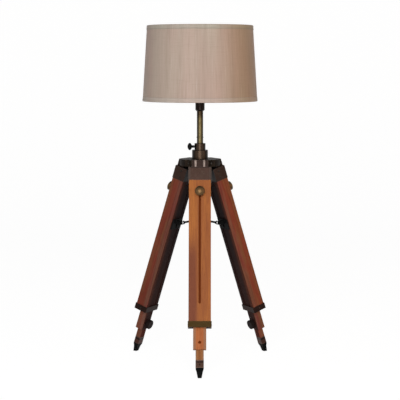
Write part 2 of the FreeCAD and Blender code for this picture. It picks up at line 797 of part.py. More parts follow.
def foot_tip():
    """The tapered foot with its steeper shoulder, before it is cut flat at the floor."""
    def ring(width, depth, drop):
        across = width / 2
        out = depth / 2
        corners = [Vector(rod_centre - out, -across, -drop), Vector(rod_centre + out, -across, -drop),
                   Vector(rod_centre + out, across, -drop), Vector(rod_centre - out, across, -drop)]
        return Part.makePolygon(corners + corners[:1])
    wide = rod_width + 2 * ferrule_step
    deep = rod_depth + 2 * ferrule_step
    shoulder_start = tip_start + tip_collar
    rings = [ring(wide, deep, tip_start),
             ring(wide - tip_collar_taper, deep - tip_collar_taper, shoulder_start),
             ring(tip_neck_width, tip_neck_depth, shoulder_start + tip_shoulder),
             ring(tip_end_width, tip_end_depth, foot_reach + tip_spare)]
    return Part.makeLoft(rings, True, True)


def floor_cutter():
    """Everything below the floor."""
    reach = 2 * (foot_reach + disc_radius)
    return box(-reach, reach, -reach, reach, -reach, 0)


def foot_knob():
    """The black knob on the inner side whose screw pinches the rod."""
    seat = middle_inner - slide_gap
    shank_length = middle_outer + foot_screw_tip - seat
    shank = Part.makeCylinder(stud_radius, shank_length, Vector(0, 0, -shank_length))
    neck = Part.makeCylinder(foot_knob_neck_radius, foot_knob_neck_length)
    grip = Part.makeCylinder(foot_knob_radius, foot_knob_length, Vector(0, 0, foot_knob_neck_length))
    rims = [e for e in grip.Edges if abs(e.Length - 2 * math.pi * foot_knob_radius) < 0.01]
    grip = grip.makeFillet(foot_knob_edge, rims)
    groove_at = foot_knob_radius + grip_groove_radius - grip_groove_depth
    groove = Part.makeCylinder(grip_groove_radius, foot_knob_length,
                               Vector(groove_at, 0, foot_knob_neck_length))
    grip = grip.cut(Part.makeCompound(copies_around(groove, grip_groove_count)))
    return laid_out(shank.multiFuse([neck, grip]), seat, -foot_knob_drop, inward=True)


# ---- Spreader
def brace_arm():
    """A flat arm with a round eye at the hub and a slotted eye at the leg's bracket."""
    slot_radius = brace_pin_radius + arm_slot_play
    lug_radius = slot_radius + arm_slot_wall
    slot_low = arm_length - arm_slot_run
    slot_high = arm_length + arm_slot_spare
    bar = box(0, slot_low, -arm_width / 2, arm_width / 2, -arm_height / 2, arm_height / 2)
    eye = cross_bar(arm_eye_radius, 0, 0, arm_width)
    lug = box(slot_low, slot_high, -arm_width / 2, arm_width / 2, -lug_radius, lug_radius)
    lug = lug.multiFuse([cross_bar(lug_radius, x, 0, arm_width) for x in (slot_low, slot_high)])
    slot = box(slot_low, slot_high, -arm_width, arm_width, -slot_radius, slot_radius)
    slot = slot.multiFuse([cross_bar(slot_radius, x, 0, 2 * arm_width) for x in (slot_low, slot_high)])
    arm = bar.multiFuse([eye, lug]).cut(slot)
    return arm.cut(cross_bar(brace_pin_radius + running_gap, 0, 0, 2 * arm_width))


def brace_hub():
    """The hub that the three arms hinge in, with a lintel that stops each arm at rest."""
    low = hub_pin_z - hub_below_pins
    high = hub_pin_z + hub_above_pins
    hub = turned([(0, low), (hub_radius - hub_edge, low), (hub_radius, low + hub_edge),
                  (hub_radius, high - hub_edge), (hub_radius - hub_edge, high), (0, high)])
    half_gap = arm_width / 2 + arm_side_gap
    slope = math.radians(arm_slope)
    arm_top = (hub_pin_z - (hub_radius - hub_pin_radius_out) * math.tan(slope)
               + arm_height / 2 / math.cos(slope))
    lintel = arm_top + slide_gap
    slot = box(hub_core_radius, hub_radius + 1, -half_gap, half_gap, low - 1, lintel)
    eye_way = cross_bar(arm_eye_radius + slide_gap, hub_pin_radius_out, hub_pin_z, 2 * half_gap)
    ramp = arm_way(half_gap, slope)
    pin_hole = cross_bar(brace_pin_radius, hub_pin_radius_out, hub_pin_z, 2 * hub_radius)
    for one in for_each_leg(slot.multiFuse([eye_way, ramp, pin_hole])):
        hub = hub.cut(one)
    return hub


def arm_way(half_gap, slope):
    """The space that an arm's bar fills at rest, with its gap, from the hub's pin outward."""
    half = arm_height / 2 + slide_gap
    way = box(0, hub_radius, -half_gap, half_gap, -half, half)
    way.rotate(origin, Vector(0, 1, 0), math.degrees(slope))
    way.translate(Vector(hub_pin_radius_out, 0, hub_pin_z))
    return way


def hub_pins():
    """The three pins in the hub."""
    half_chord = math.sqrt((hub_radius - hub_edge) ** 2 - hub_pin_radius_out ** 2) - hub_pin_sunk
    pin = cross_bar(brace_pin_radius, hub_pin_radius_out, hub_pin_z, 2 * half_chord)
    return Part.makeCompound(for_each_leg(pin))


def main():
    os.makedirs("parts", exist_ok=True)
    pieces = {
        "head_disc": head_disc(),
        "head_boss": head_boss(),
        "clamp_collar": clamp_collar(),
        "hinge_bolts": Part.makeCompound(for_each_leg(hinge_bolt())),
        "hinge_nuts": Part.makeCompound(for_each_leg(hinge_nut())),
        "stem_thumbscrew": thumbscrew(),
        "stem_tube": stem_tube(),
        "stop_ring": stop_ring(),
        "cord_grommet": cord_grommet(),
        "lampholder_cap": holder_cap(),
        "lampholder_shell": holder_shell(),
        "lampholder_insert": holder_insert(),
        "lampholder_contact": holder_contact(),
        "shade_nuts": shade_nuts(),
        "bulb_cap": bulb_cap(),
        "bulb_glass": bulb_glass(),
        "bulb_filament": bulb_filament(),
        "shade_spider": shade_spider(),
        "shade_lower_ring": shade_ring(shade_bottom, 1),
        "shade_upper_ring": shade_ring(shade_top, -1),
        "shade_liner": shade_liner(),
        "shade_fabric": shade_fabric(),
        "shade_lower_tape": shade_tape(shade_bottom, shade_bottom + tape_height),
        "shade_upper_tape": shade_tape(shade_top - tape_height, shade_top),
        "spreader_hub": brace_hub(),
        "spreader_pins": hub_pins(),
    }
    leg_pieces = {
        "leg_channel": wood_channel(),
        "leg_cap": leg_cap(),
        "leg_band": leg_band(),
        "spreader_bracket": brace_bracket(),
        "middle_section": middle_section(),
        "slot_knob": slot_knob(),
        "foot_rod": foot_rod(),
        "foot_ferrule": foot_ferrule(),
        "foot_tip": foot_tip(),
        "foot_knob": foot_knob(),
    }
    arm = brace_arm()
    floor = floor_cutter()
    for side, azimuth in leg_azimuths.items():
        for name, shape in leg_pieces.items():
            placed = on_leg(shape, azimuth)
            if name == "foot_tip":
                placed = placed.cut(floor)
            pieces[f"{name}_{side}"] = placed
        pieces[f"spreader_arm_{side}"] = on_spreader(arm, azimuth)
    for name, shape in pieces.items():
        shape.exportStep(f"parts/{name}.step")


main()
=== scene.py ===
import json
import math

import bmesh
import bpy
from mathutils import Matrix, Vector, noise


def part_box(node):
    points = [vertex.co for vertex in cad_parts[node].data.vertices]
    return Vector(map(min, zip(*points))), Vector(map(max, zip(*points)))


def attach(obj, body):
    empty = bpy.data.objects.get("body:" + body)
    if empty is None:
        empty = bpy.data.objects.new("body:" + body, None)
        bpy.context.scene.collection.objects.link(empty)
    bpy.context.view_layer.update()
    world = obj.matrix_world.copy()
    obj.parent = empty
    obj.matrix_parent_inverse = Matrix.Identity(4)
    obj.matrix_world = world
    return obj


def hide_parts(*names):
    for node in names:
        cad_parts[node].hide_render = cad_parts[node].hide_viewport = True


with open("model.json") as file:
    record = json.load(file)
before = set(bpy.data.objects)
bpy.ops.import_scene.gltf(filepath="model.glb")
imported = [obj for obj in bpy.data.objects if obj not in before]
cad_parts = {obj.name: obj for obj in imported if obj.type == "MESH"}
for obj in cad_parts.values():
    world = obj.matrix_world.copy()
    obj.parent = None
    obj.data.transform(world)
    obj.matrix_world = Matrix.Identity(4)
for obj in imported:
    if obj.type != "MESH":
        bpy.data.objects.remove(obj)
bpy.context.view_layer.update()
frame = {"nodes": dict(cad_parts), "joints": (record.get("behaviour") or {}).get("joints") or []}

# ---- Camera
# A long lens, level with the middle of the shade and tilted down at the lamp. It stands a
# quarter of a degree to the right of the front leg.
scene = bpy.context.scene
camera_distance = 2.848
camera_height = 0.6677
camera_turn = math.radians(0.25)
camera_pitch = math.radians(6.142)
camera_focal = 115.7
camera_film = 36.0
camera_reach = 50.0

camera_data = bpy.data.cameras.new("camera")
camera_data.lens = camera_focal
camera_data.sensor_width = camera_film
camera_data.clip_end = camera_reach
camera = bpy.data.objects.new("camera", camera_data)
camera.location = (camera_distance * math.sin(camera_turn),
                   -camera_distance * math.cos(camera_turn), camera_height)
camera.rotation_euler = (math.pi / 2 - camera_pitch, 0.0, camera_turn)
scene.collection.objects.link(camera)
scene.camera = camera


# ---- Stage and lights
# A pale floor that turns up into a backdrop, white to the camera and in reflections, with a
# faint shadow. One broad lamp in front, a weak one at the left and a weak warm one at the right.
pure_white = (1.0, 1.0, 1.0, 1.0)
stage_paint = (0.60, 0.60, 0.60, 1.0)
stage_glow = 1.22
shadow_share = 0.22
room_light = 0.12
lamp_middle = Vector((0.0, 0.0, 0.42))


def adder(material_or_group):
    """A short way to add nodes: add(kind, inputs, settings) gives the new node."""
    tree = getattr(material_or_group, "node_tree", material_or_group)

    def add(kind, inputs=None, **settings):
        node = tree.nodes.new("ShaderNode" + kind)
        for key, value in settings.items():
            setattr(node, key, value)
        for key, value in (inputs or {}).items():
            if isinstance(value, bpy.types.NodeSocket):
                tree.links.new(value, node.inputs[key])
            else:
                node.inputs[key].default_value = value
        return node
    return add


def worked(add, operation, first, second=0.0, clamp=False):
    """The result of a sum."""
    return add("Math", {0: first, 1: second}, operation=operation, use_clamp=clamp).outputs[0]


def bare(material_or_world):
    """Empties a new material's or world's nodes, and gives a way to add its own."""
    material_or_world.use_nodes = True
    material_or_world.node_tree.nodes.clear()
    return adder(material_or_world)


def seen_directly(add):
    """1 for a ray from the camera, off a shiny face or through glass, and 0 for any other."""
    path = add("LightPath").outputs
    shown = worked(add, "MAXIMUM", path["Is Camera Ray"], path["Is Glossy Ray"])
    return worked(add, "MAXIMUM", shown, path["Is Transmission Ray"])


def mesh_object(name, build, material):
    """The built mesh in its material, as an object in the scene."""
    mesh = bpy.data.meshes.new(name)
    build.to_mesh(mesh)
    build.free()
    mesh.materials.append(material)
    made = bpy.data.objects.new(name, mesh)
    scene.collection.objects.link(made)
    return made


def stage_white():
    """White where it is seen directly, with a share of real shading for the shadow."""
    material = bpy.data.materials.new("stage_white")
    add = bare(material)
    share = worked(add, "MULTIPLY", seen_directly(add), 1.0 - shadow_share)
    paint = add("BsdfDiffuse", {"Color": stage_paint})
    glow = add("Emission", {"Color": pure_white, "Strength": stage_glow})
    mix = add("MixShader", {0: share, 1: paint.outputs[0], 2: glow.outputs[0]})
    add("OutputMaterial", {"Surface": mix.outputs[0]})
    return material


def stage_sweep():
    """A floor that curves up into a wall behind the lamp."""
    half_width, front, wall, bend, top, bend_steps = 6.0, -4.5, 3.5, 1.5, 5.0, 12
    line = [(front, 0.0), (wall - bend, 0.0)]
    for step in range(1, bend_steps + 1):
        angle = step / bend_steps * math.pi / 2
        line.append((wall - bend + bend * math.sin(angle), bend - bend * math.cos(angle)))
    line.append((wall, top))
    build = bmesh.new()
    rows = [[build.verts.new((x, y, z)) for x in (-half_width, half_width)] for y, z in line]
    for low, high in zip(rows, rows[1:]):
        build.faces.new((low[0], low[1], high[1], high[0])).smooth = True
    return mesh_object("stage_sweep", build, stage_white())


def soft_lamp(name, place, size, power, colour):
    """A square lamp that points at the middle of the tripod lamp."""
    data = bpy.data.lights.new(name, "AREA")
    data.size = size
    data.energy = power
    data.color = colour
    made = bpy.data.objects.new(name, data)
    made.location = place
    made.rotation_euler = (lamp_middle - Vector(place)).to_track_quat("-Z", "Y").to_euler()
    scene.collection.objects.link(made)


stage_sweep()
soft_lamp("lamp_front", (-0.15, -3.4, 1.25), size=2.2, power=92.0, colour=(1.0, 1.0, 1.0))
soft_lamp("lamp_left", (-2.7, -1.2, 1.2), size=1.6, power=3.0, colour=(0.97, 0.98, 1.0))
soft_lamp("lamp_right", (2.7, -1.2, 1.2), size=1.6, power=7.0, colour=(1.0, 0.45, 0.12))

world = bpy.data.worlds.new("soft_room")
scene.world = world
add = bare(world)
room = add("Background", {"Color": pure_white, "Strength": room_light})
backdrop = add("Background", {"Color": pure_white, "Strength": 1.0})
mix = add("MixShader", {0: seen_directly(add), 1: room.outputs[0], 2: backdrop.outputs[0]})
add("OutputWorld", {"Surface": mix.outputs[0]})
scene.view_settings.view_transform = "Standard"


# ---- Wooden legs, middle sections and foot rods
# Straight-grained orange-brown hardwood with a satin varnish. Every part is planed, with its side
# faces redder and its inner faces nearly black with painted shade; the grain runs down the leg.
sides = ("front", "right", "left")
joints = {joint["name"]: joint for joint in frame["joints"]}
hinge_offset = 0.00643
leg_half_width = 0.024
leg_half_depth = 0.0145
planed_skin = 0.0009
leg_wood_end = 0.3600

leg_light = (0.455, 0.156, 0.040)
leg_dark = (0.305, 0.094, 0.035)
# Side-face stain for each leg; the right leg's is lighter and the left leg's darker, as painted
# light and shade.
leg_side_with_painted_light = {"front": (0.21, 0.062, 0.033), "right": (0.230, 0.066, 0.034),
            "left": (0.174, 0.052, 0.031)}
# The inner faces' colour is painted shade.
leg_inner_shade = (0.017, 0.0095, 0.0095)
leg_streak = {"front": 0.9, "right": 0.3, "left": 0.3}
middle_light = (0.52, 0.160, 0.050)
middle_dark = (0.31, 0.085, 0.028)
middle_side = {"front": (0.21, 0.062, 0.033), "right": (0.200, 0.066, 0.040),
               "left": (0.205, 0.068, 0.045)}
# Where the channel covers a middle section it is painted in shade, a deep red-brown.
middle_channel_shade = (0.24, 0.047, 0.008)
middle_pale_from = 0.0084
rod_light = (0.36, 0.145, 0.047)
rod_dark = (0.23, 0.078, 0.026)
# The rods' inner faces are painted shade too.
rod_inner_shade = (0.05, 0.017, 0.012)
rod_pale_from = 0.0060

# Tints, multiplied into the wood under them; only the pale flank is a colour of its own.
slot_soil_and_shade = (0.52, 0.42, 0.40, 1.0)
side_grain = (0.58, 0.46, 0.46, 1.0)
side_plain_patch = (0.98, 1.18, 1.06, 1.0)
side_red_patch = (1.06, 0.84, 0.92, 1.0)
side_by_face = (1.06, 0.98, 0.88, 1.0)
side_by_inner = (1.0, 1.14, 1.36, 1.0)
inner_low_down = (1.7, 1.2, 1.0, 1.0)
pore_shadow = (0.25, 0.2, 0.2, 1.0)
pale_flank = (0.34, 0.185, 0.105, 1.0)

# Where each mark begins and where it is whole, in metres across, outward or down from the hinge.
streak_across = (-0.002, -0.012)
streak_down = (0.17, 0.25)
slot_across = (0.0044, 0.0020)
slot_top = (0.060, 0.068)
slot_bottom = (0.312, 0.300)
flank_across = (-0.0012, 0.0012)
side_edge_outward = (0.001, -0.010)
# The painted shade on the inner faces fades down the leg and thins across one side of it.
inner_shade_fades_down = (0.12, 0.36)
inner_shade_thins_across = (0.002, 0.024)
inner_shade_thins_way = {"front": 0.0, "right": -1.0, "left": 1.0}
inner_shade_thin_share = 0.34
varnish_roughness = 0.36
dullness_in_shade = 0.22
wood_gloss = 0.06


def leg_axes(side):
    """The directions down the leg, across it and outward from it."""
    down = Vector(joints[f"middle_{side}_slide"]["axis"]).normalized()
    across = Vector(joints[f"leg_{side}_fold"]["axis"]).normalized()
    return down, across, down.cross(across)


def leg_hinge(side):
    """The place of a leg's hinge in the head."""
    return Vector(joints[f"leg_{side}_fold"]["pos_m"])


def new_group(name, inputs, outputs):
    """A shader node group with named sockets; gives it, its add(), its two ends and a linker."""
    group = bpy.data.node_groups.new(name, "ShaderNodeTree")
    for label, kind in inputs:
        group.interface.new_socket(label, in_out="INPUT", socket_type="NodeSocket" + kind)
    for label, kind in outputs:
        group.interface.new_socket(label, in_out="OUTPUT", socket_type="NodeSocket" + kind)
    given = group.nodes.new("NodeGroupInput")
    result = group.nodes.new("NodeGroupOutput")
    return group, adder(group), given.outputs, result.inputs, group.links.new


def times(add, first, *others):
    """The product of two or more values."""
    for other in others:
        first = worked(add, "MULTIPLY", first, other)
    return first


def mixed(add, factor, first, second, blend="MIX"):
    """The result of a colour mix."""
    node = add("Mix", {0: factor, 6: first, 7: second}, data_type="RGBA", blend_type=blend)
    return node.outputs[2]


def tinted(add, colour, tint):
    """A colour multiplied by a tint."""
    return mixed(add, 1.0, colour, tint, "MULTIPLY")


def stepped(add, value, low, high, to_low=0.0, to_high=1.0):
    """A smooth step of a value from one range to another."""
    node = add("MapRange", {0: value, 1: low, 2: high, 3: to_low, 4: to_high},
               interpolation_type="SMOOTHSTEP")
    return node.outputs[0]


def reach(add, place_or_normal, direction):
    """How far a place or a normal reaches in a direction."""
    return add("VectorMath", {0: place_or_normal, 1: direction},
               operation="DOT_PRODUCT").outputs["Value"]


def clouds(add, place, scale, detail, roughness=0.6, distortion=0.0):
    """Soft random clouds over a place, from 0 to 1."""
    return add("TexNoise", {"Vector": place, "Scale": scale, "Detail": detail,
                            "Roughness": roughness, "Distortion": distortion}).outputs["Fac"]


def timber_group():
    """Grain along a leg, from the leg's own directions, with stained side faces and painted shade
    on the inner faces.
    """
    group, add, given, result, link = new_group(
        "timber",
        [("Down", "Vector"), ("Across", "Vector"), ("Out", "Vector"), ("Light", "Color"),
         ("Dark", "Color"), ("Side", "Color"), ("Inner", "Color"), ("Covered", "Color"),
         ("Figure", "Float"), ("Centre Line", "Float"), ("Hinge Down", "Float"),
         ("Side From", "Float"), ("Face From", "Float"), ("Dark Until", "Float"),
         ("Streak", "Float"), ("Soil", "Float"), ("Pale From", "Float"), ("Thin Way", "Float")],
        [("Color", "Color"), ("Roughness", "Float"), ("Height", "Float")])
    place = add("TexCoord").outputs
    down = reach(add, place["Object"], given["Down"])
    across = reach(add, place["Object"], given["Across"])
    out = reach(add, place["Object"], given["Out"])
    facing = reach(add, place["Normal"], given["Out"])
    from_hinge = worked(add, "SUBTRACT", down, given["Hinge Down"])
    outward = worked(add, "SUBTRACT", out, given["Centre Line"])
    off_centre = worked(add, "ABSOLUTE", across)

    def grain(along, through, detail, distortion):
        """Clouds drawn out along the leg."""
        drawn = add("CombineXYZ", {0: times(add, down, along), 1: times(add, across, through),
                                   2: times(add, out, through)})
        shifted = add("VectorMath", {0: drawn.outputs[0], 1: given["Down"]}, operation="ADD")
        return clouds(add, shifted.outputs[0], 1.0, detail, distortion=distortion)

    figure = grain(along=3.5, through=75.0, detail=3.0, distortion=0.6)
    streaks = grain(along=14.0, through=420.0, detail=4.0, distortion=0.2)
    pores = grain(along=70.0, through=1900.0, detail=2.0, distortion=0.0)
    drift = grain(along=5.0, through=30.0, detail=1.0, distortion=0.0)
    patches = grain(along=11.0, through=85.0, detail=2.0, distortion=0.4)

    # Rings, streaks and slow drifts, between the light and the dark wood.
    rings = worked(add, "SINE", times(add, figure, 26.0))
    ring_mask = times(add, stepped(add, rings, -0.2, 1.0), given["Figure"])
    streak_mask = stepped(add, streaks, 0.46, 0.68)
    colour = mixed(add, ring_mask, given["Light"], given["Dark"])
    colour = mixed(add, times(add, streak_mask, 0.5), colour, given["Dark"])
    colour = mixed(add, stepped(add, drift, 0.4, 0.7, 0.0, 0.6), colour, given["Dark"])

    # One wandering red streak, on one half of the face and below the upper part of the slot.
    wander = times(add, worked(add, "SUBTRACT", figure, 0.5), 0.014)
    beside = stepped(add, worked(add, "ADD", across, wander), *streak_across)
    begins = stepped(add, worked(add, "ADD", from_hinge, times(add, drift, 0.08)), *streak_down)
    colour = mixed(add, times(add, beside, given["Streak"], begins), colour, given["Side"])

    # Soil and painted shade along the slot, and pale flanks on the narrow bars.
    near_slot = times(add, stepped(add, off_centre, *slot_across),
                      stepped(add, from_hinge, *slot_top),
                      stepped(add, from_hinge, *slot_bottom))
    colour = mixed(add, times(add, near_slot, given["Soil"]), colour,
                   tinted(add, colour, slot_soil_and_shade))
    flank = stepped(add, worked(add, "SUBTRACT", off_centre, given["Pale From"]), *flank_across)
    colour = mixed(add, times(add, flank, 0.7), colour, pale_flank)

    # Redder side faces in plain and red patches, cooler towards the inner edge.
    grained = worked(add, "ADD", times(add, ring_mask, 0.6), times(add, streak_mask, 0.4))
    side_tone = mixed(add, grained, given["Side"], tinted(add, given["Side"], side_grain))
    side_tone = tinted(add, side_tone, mixed(add, stepped(add, patches, 0.40, 0.62),
                                             side_plain_patch, side_red_patch))
    stain_edge = times(add, worked(add, "SUBTRACT", patches, 0.5), 0.012)
    to_inner_edge = stepped(add, worked(add, "ADD", outward, stain_edge), *side_edge_outward)
    side_tone = tinted(add, side_tone, mixed(add, to_inner_edge, side_by_face, side_by_inner))
    faces_side = stepped(add, worked(add, "ABSOLUTE", facing), 0.75, 0.25)
    colour = mixed(add, faces_side, colour, side_tone)

    # Painted shade, a deep red-brown, where the channel covers a middle section; painted shade on
    # every inner face, lighter towards the leg's lower end and on one side.
    covered = worked(add, "LESS_THAN", from_hinge, given["Dark Until"])
    colour = mixed(add, covered, colour, given["Covered"])
    at_side = worked(add, "GREATER_THAN", off_centre, given["Side From"])
    at_face = worked(add, "GREATER_THAN", outward, given["Face From"])
    hidden = worked(add, "SUBTRACT", 1.0, worked(add, "MAXIMUM", at_side, at_face))
    inward = worked(add, "MAXIMUM", stepped(add, facing, -0.25, -0.75), hidden)
    inner = mixed(add, stepped(add, from_hinge, *inner_shade_fades_down), given["Inner"],
                  tinted(add, given["Inner"], inner_low_down))
    thinner_inner_shade = stepped(add, times(add, across, given["Thin Way"]), *inner_shade_thins_across,
                         0.0, inner_shade_thin_share)
    inner = mixed(add, thinner_inner_shade, inner, given["Side"])
    colour = mixed(add, inward, colour, inner)

    # Open pores, and a satin varnish that is duller where shade is painted.
    pore_mask = stepped(add, pores, 0.60, 0.72)
    colour = mixed(add, times(add, pore_mask, 0.5), colour, tinted(add, colour, pore_shadow))
    link(colour, result["Color"])
    varnish = worked(add, "ADD", times(add, streaks, 0.25), varnish_roughness)
    dull = times(add, worked(add, "MAXIMUM", inward, covered), dullness_in_shade)
    link(worked(add, "ADD", varnish, dull, clamp=True), result["Roughness"])
    link(worked(add, "SUBTRACT", times(add, streaks, 0.35), pore_mask), result["Height"])
    return group


timber = timber_group()


def wood(name, side, light, dark, side_tone, inner, figure, side_from=-1.0, face_from=-1.0,
         dark_until=-1.0, streak=0.0, soil_and_shade=0.0, pale_from=1.0):
    """A varnished wood for one leg's pieces; each mark is left out unless it is asked for."""
    material = bpy.data.materials.new(name)
    add = bare(material)
    down, across, out = leg_axes(side)
    grain = add("Group", {
        "Down": down, "Across": across, "Out": out,
        "Centre Line": leg_hinge(side).dot(out) - hinge_offset,
        "Hinge Down": leg_hinge(side).dot(down),
        "Light": (*light, 1.0), "Dark": (*dark, 1.0), "Side": (*side_tone, 1.0),
        "Inner": (*inner, 1.0), "Covered": (*middle_channel_shade, 1.0),
        "Figure": figure, "Side From": side_from, "Face From": face_from,
        "Dark Until": dark_until, "Streak": streak, "Soil": soil_and_shade, "Pale From": pale_from,
        "Thin Way": inner_shade_thins_way[side]}, node_tree=timber)
    bump = add("Bump", {"Height": grain.outputs["Height"], "Strength": 0.3, "Distance": 0.0002})
    shader = add("BsdfPrincipled", {
        "Base Color": grain.outputs["Color"], "Roughness": grain.outputs["Roughness"],
        "Normal": bump.outputs[0], "Specular IOR Level": wood_gloss})
    add("OutputMaterial", {"Surface": shader.outputs[0]})
    return material


def dress(material, *nodes):
    """Gives carried-over pieces their finish."""
    for node in nodes:
        for slot in frame["nodes"][node].material_slots:
            slot.material = material


for side in sides:
    dress(wood(f"leg_wood_{side}", side, leg_light, leg_dark, leg_side_with_painted_light[side], leg_inner_shade,
               figure=0.55, side_from=leg_half_width - planed_skin,
               face_from=leg_half_depth - planed_skin, streak=leg_streak[side], soil_and_shade=0.6),
          f"leg_channel_{side}")
    dress(wood(f"middle_wood_{side}", side, middle_light, middle_dark, middle_side[side],
               leg_inner_shade, figure=0.4, dark_until=leg_wood_end, pale_from=middle_pale_from),
          f"middle_section_{side}")
    dress(wood(f"rod_wood_{side}", side, rod_light, rod_dark, leg_side_with_painted_light[side], rod_inner_shade,
               figure=0.4, pale_from=rod_pale_from),
          f"foot_rod_{side}")


# ---- Caps, bands, head, collar and hinge bolts
# Cast and turned brass with a dark brown bronze finish, rubbed lighter on the edges, and faintly
# olive where the finish is thin. The caps carry painted highlights on their ribs and painted
# shade in their recesses; the boss and collar get a painted dark reflection towards their rims.
edge_wear_radius = 0.0011
rim_turns = (0.07, 0.32)
painted_rim_reflection = (0.006, 0.0055, 0.005, 1.0)

# Where the cap's painted highlights and shade lie, in metres down from the hinge and then to
# either side of the middle line.
knuckle_end = (0.0102, 0.0094)
ledge_shadow_end = (0.0135, 0.0115)
rib_middle = 0.0094
rib_half = 0.0029
bevel_from = 0.0210
bevel_blur = 0.0004
cap_rib_highlight = (0.15, 0.115, 0.10, 1.0)
cap_bevel_wear_and_highlight = (0.062, 0.044, 0.036, 1.0)
cap_recess_shade = (0.007, 0.005, 0.0045, 1.0)


def old_metal_group():
    """Patchy dark finish over metal, with rubbed edges."""
    group, add, given, result, link = new_group(
        "old_metal",
        [("Finish", "Color"), ("Thin", "Color"), ("Rubbed", "Color"), ("Edge", "Float"),
         ("Rough", "Float")],
        [("Color", "Color"), ("Roughness", "Float"), ("Height", "Float")])
    place = add("TexCoord").outputs["Object"]
    cloud = clouds(add, place, 55.0, 4.0)
    speck = clouds(add, place, 700.0, 3.0)
    rounded = add("Bevel", {"Radius": edge_wear_radius}, samples=4).outputs[0]
    edge = stepped(add, reach(add, rounded, add("NewGeometry").outputs["Normal"]), 0.995, 0.90)
    patch = stepped(add, cloud, 0.35, 0.62, 0.25, 1.0)
    colour = mixed(add, stepped(add, cloud, 0.45, 0.7, 0.0, 0.7), given["Finish"], given["Thin"])
    colour = mixed(add, stepped(add, speck, 0.56, 0.72, 0.0, 0.35), colour, given["Rubbed"])
    colour = mixed(add, times(add, edge, patch, given["Edge"]), colour, given["Rubbed"])
    link(colour, result["Color"])
    unevenness = times(add, worked(add, "SUBTRACT", cloud, 0.5), 0.35)
    link(worked(add, "ADD", given["Rough"], unevenness), result["Roughness"])
    link(speck, result["Height"])
    return group


old_metal = old_metal_group()


def finish(name, main, thin, rubbed, edge=0.8, rough=0.38, metallic=0.85, bump_strength=0.15,
           gloss=0.5, rim=0.0):
    """A worn metal, paint or rubber; a polished one gets a painted dark reflection towards its
    rim, by that share.
    """
    material = bpy.data.materials.new(name)
    add = bare(material)
    skin = add("Group", {"Finish": (*main, 1.0), "Thin": (*thin, 1.0), "Rubbed": (*rubbed, 1.0),
                         "Edge": edge, "Rough": rough}, node_tree=old_metal)
    bump = add("Bump", {"Height": skin.outputs["Height"], "Strength": bump_strength,
                        "Distance": 0.0001})
    colour = skin.outputs["Color"]
    if rim:
        painted_rim = stepped(add, add("LayerWeight").outputs["Facing"], *rim_turns, 0.0, rim)
        colour = mixed(add, painted_rim, colour, painted_rim_reflection)
    shader = add("BsdfPrincipled", {
        "Base Color": colour, "Roughness": skin.outputs["Roughness"],
        "Metallic": metallic, "Specular IOR Level": gloss, "Normal": bump.outputs[0]})
    add("OutputMaterial", {"Surface": shader.outputs[0]})
    return material


def paint_over(material, marked):
    """Puts marks over a finish: marked(add, colour) gives its new colour."""
    nodes = material.node_tree.nodes
    shader = next(node for node in nodes if node.type == "BSDF_PRINCIPLED")
    base = shader.inputs["Base Color"]
    colour = marked(adder(material), base.links[0].from_socket)
    material.node_tree.links.new(colour, base)
    return material


def cap_highlights_and_shade_group():
    """Painted highlights on a cap's ribs and worn bevels, and painted shade on its knuckle, below
    it and on its inner faces.
    """
    group, add, given, result, link = new_group(
        "cap_highlights_and_shade",
        [("Color", "Color"), ("Down", "Vector"), ("Across", "Vector"), ("Out", "Vector"),
         ("Hinge Down", "Float"), ("Ribs", "Color"), ("Bevels", "Color"), ("Recess", "Color")],
        [("Color", "Color")])
    place = add("TexCoord").outputs
    down = reach(add, place["Object"], given["Down"])
    from_hinge = worked(add, "SUBTRACT", down, given["Hinge Down"])
    off_centre = worked(add, "ABSOLUTE", reach(add, place["Object"], given["Across"]))
    facing_out = reach(add, place["Normal"], given["Out"])
    outer = stepped(add, facing_out, 0.2, 0.6)
    knuckle = stepped(add, from_hinge, *knuckle_end)
    between_ribs = times(add, outer, knuckle)
    colour = mixed(add, times(add, between_ribs, 0.55), given["Color"], given["Recess"])
    from_rib = worked(add, "ABSOLUTE", worked(add, "SUBTRACT", off_centre, rib_middle))
    ribs = times(add, stepped(add, from_rib, rib_half, rib_half * 0.6), between_ribs)
    colour = mixed(add, ribs, colour, given["Ribs"])
    ledge = times(add, stepped(add, from_hinge, *ledge_shadow_end),
                  worked(add, "SUBTRACT", 1.0, knuckle), outer)
    colour = mixed(add, times(add, ledge, 0.6), colour, given["Recess"])
    bevel = stepped(add, off_centre, bevel_from - bevel_blur, bevel_from + bevel_blur)
    colour = mixed(add, times(add, bevel, outer, 0.8), colour, given["Bevels"])
    colour = mixed(add, stepped(add, facing_out, -0.5, -0.9), colour, given["Recess"])
    link(colour, result["Color"])
    return group


cap_highlights_and_shade = cap_highlights_and_shade_group()


def cap_finish(side):
    """Bronze for one leg's cap, with painted highlights on its ribs and bevels and painted shade
    in its recesses.
    """
    down, across, out = leg_axes(side)

    def marked(add, colour):
        return add("Group", {
            "Color": colour, "Down": down, "Across": across, "Out": out,
            "Hinge Down": leg_hinge(side).dot(down), "Ribs": cap_rib_highlight,
            "Bevels": cap_bevel_wear_and_highlight, "Recess": cap_recess_shade}, node_tree=cap_highlights_and_shade).outputs["Color"]
    return paint_over(
        finish(f"cap_bronze_{side}", (0.029, 0.0155, 0.0115), (0.037, 0.022, 0.016),
               (0.13, 0.10, 0.085), edge=0.9, rough=0.42, gloss=0.2), marked)


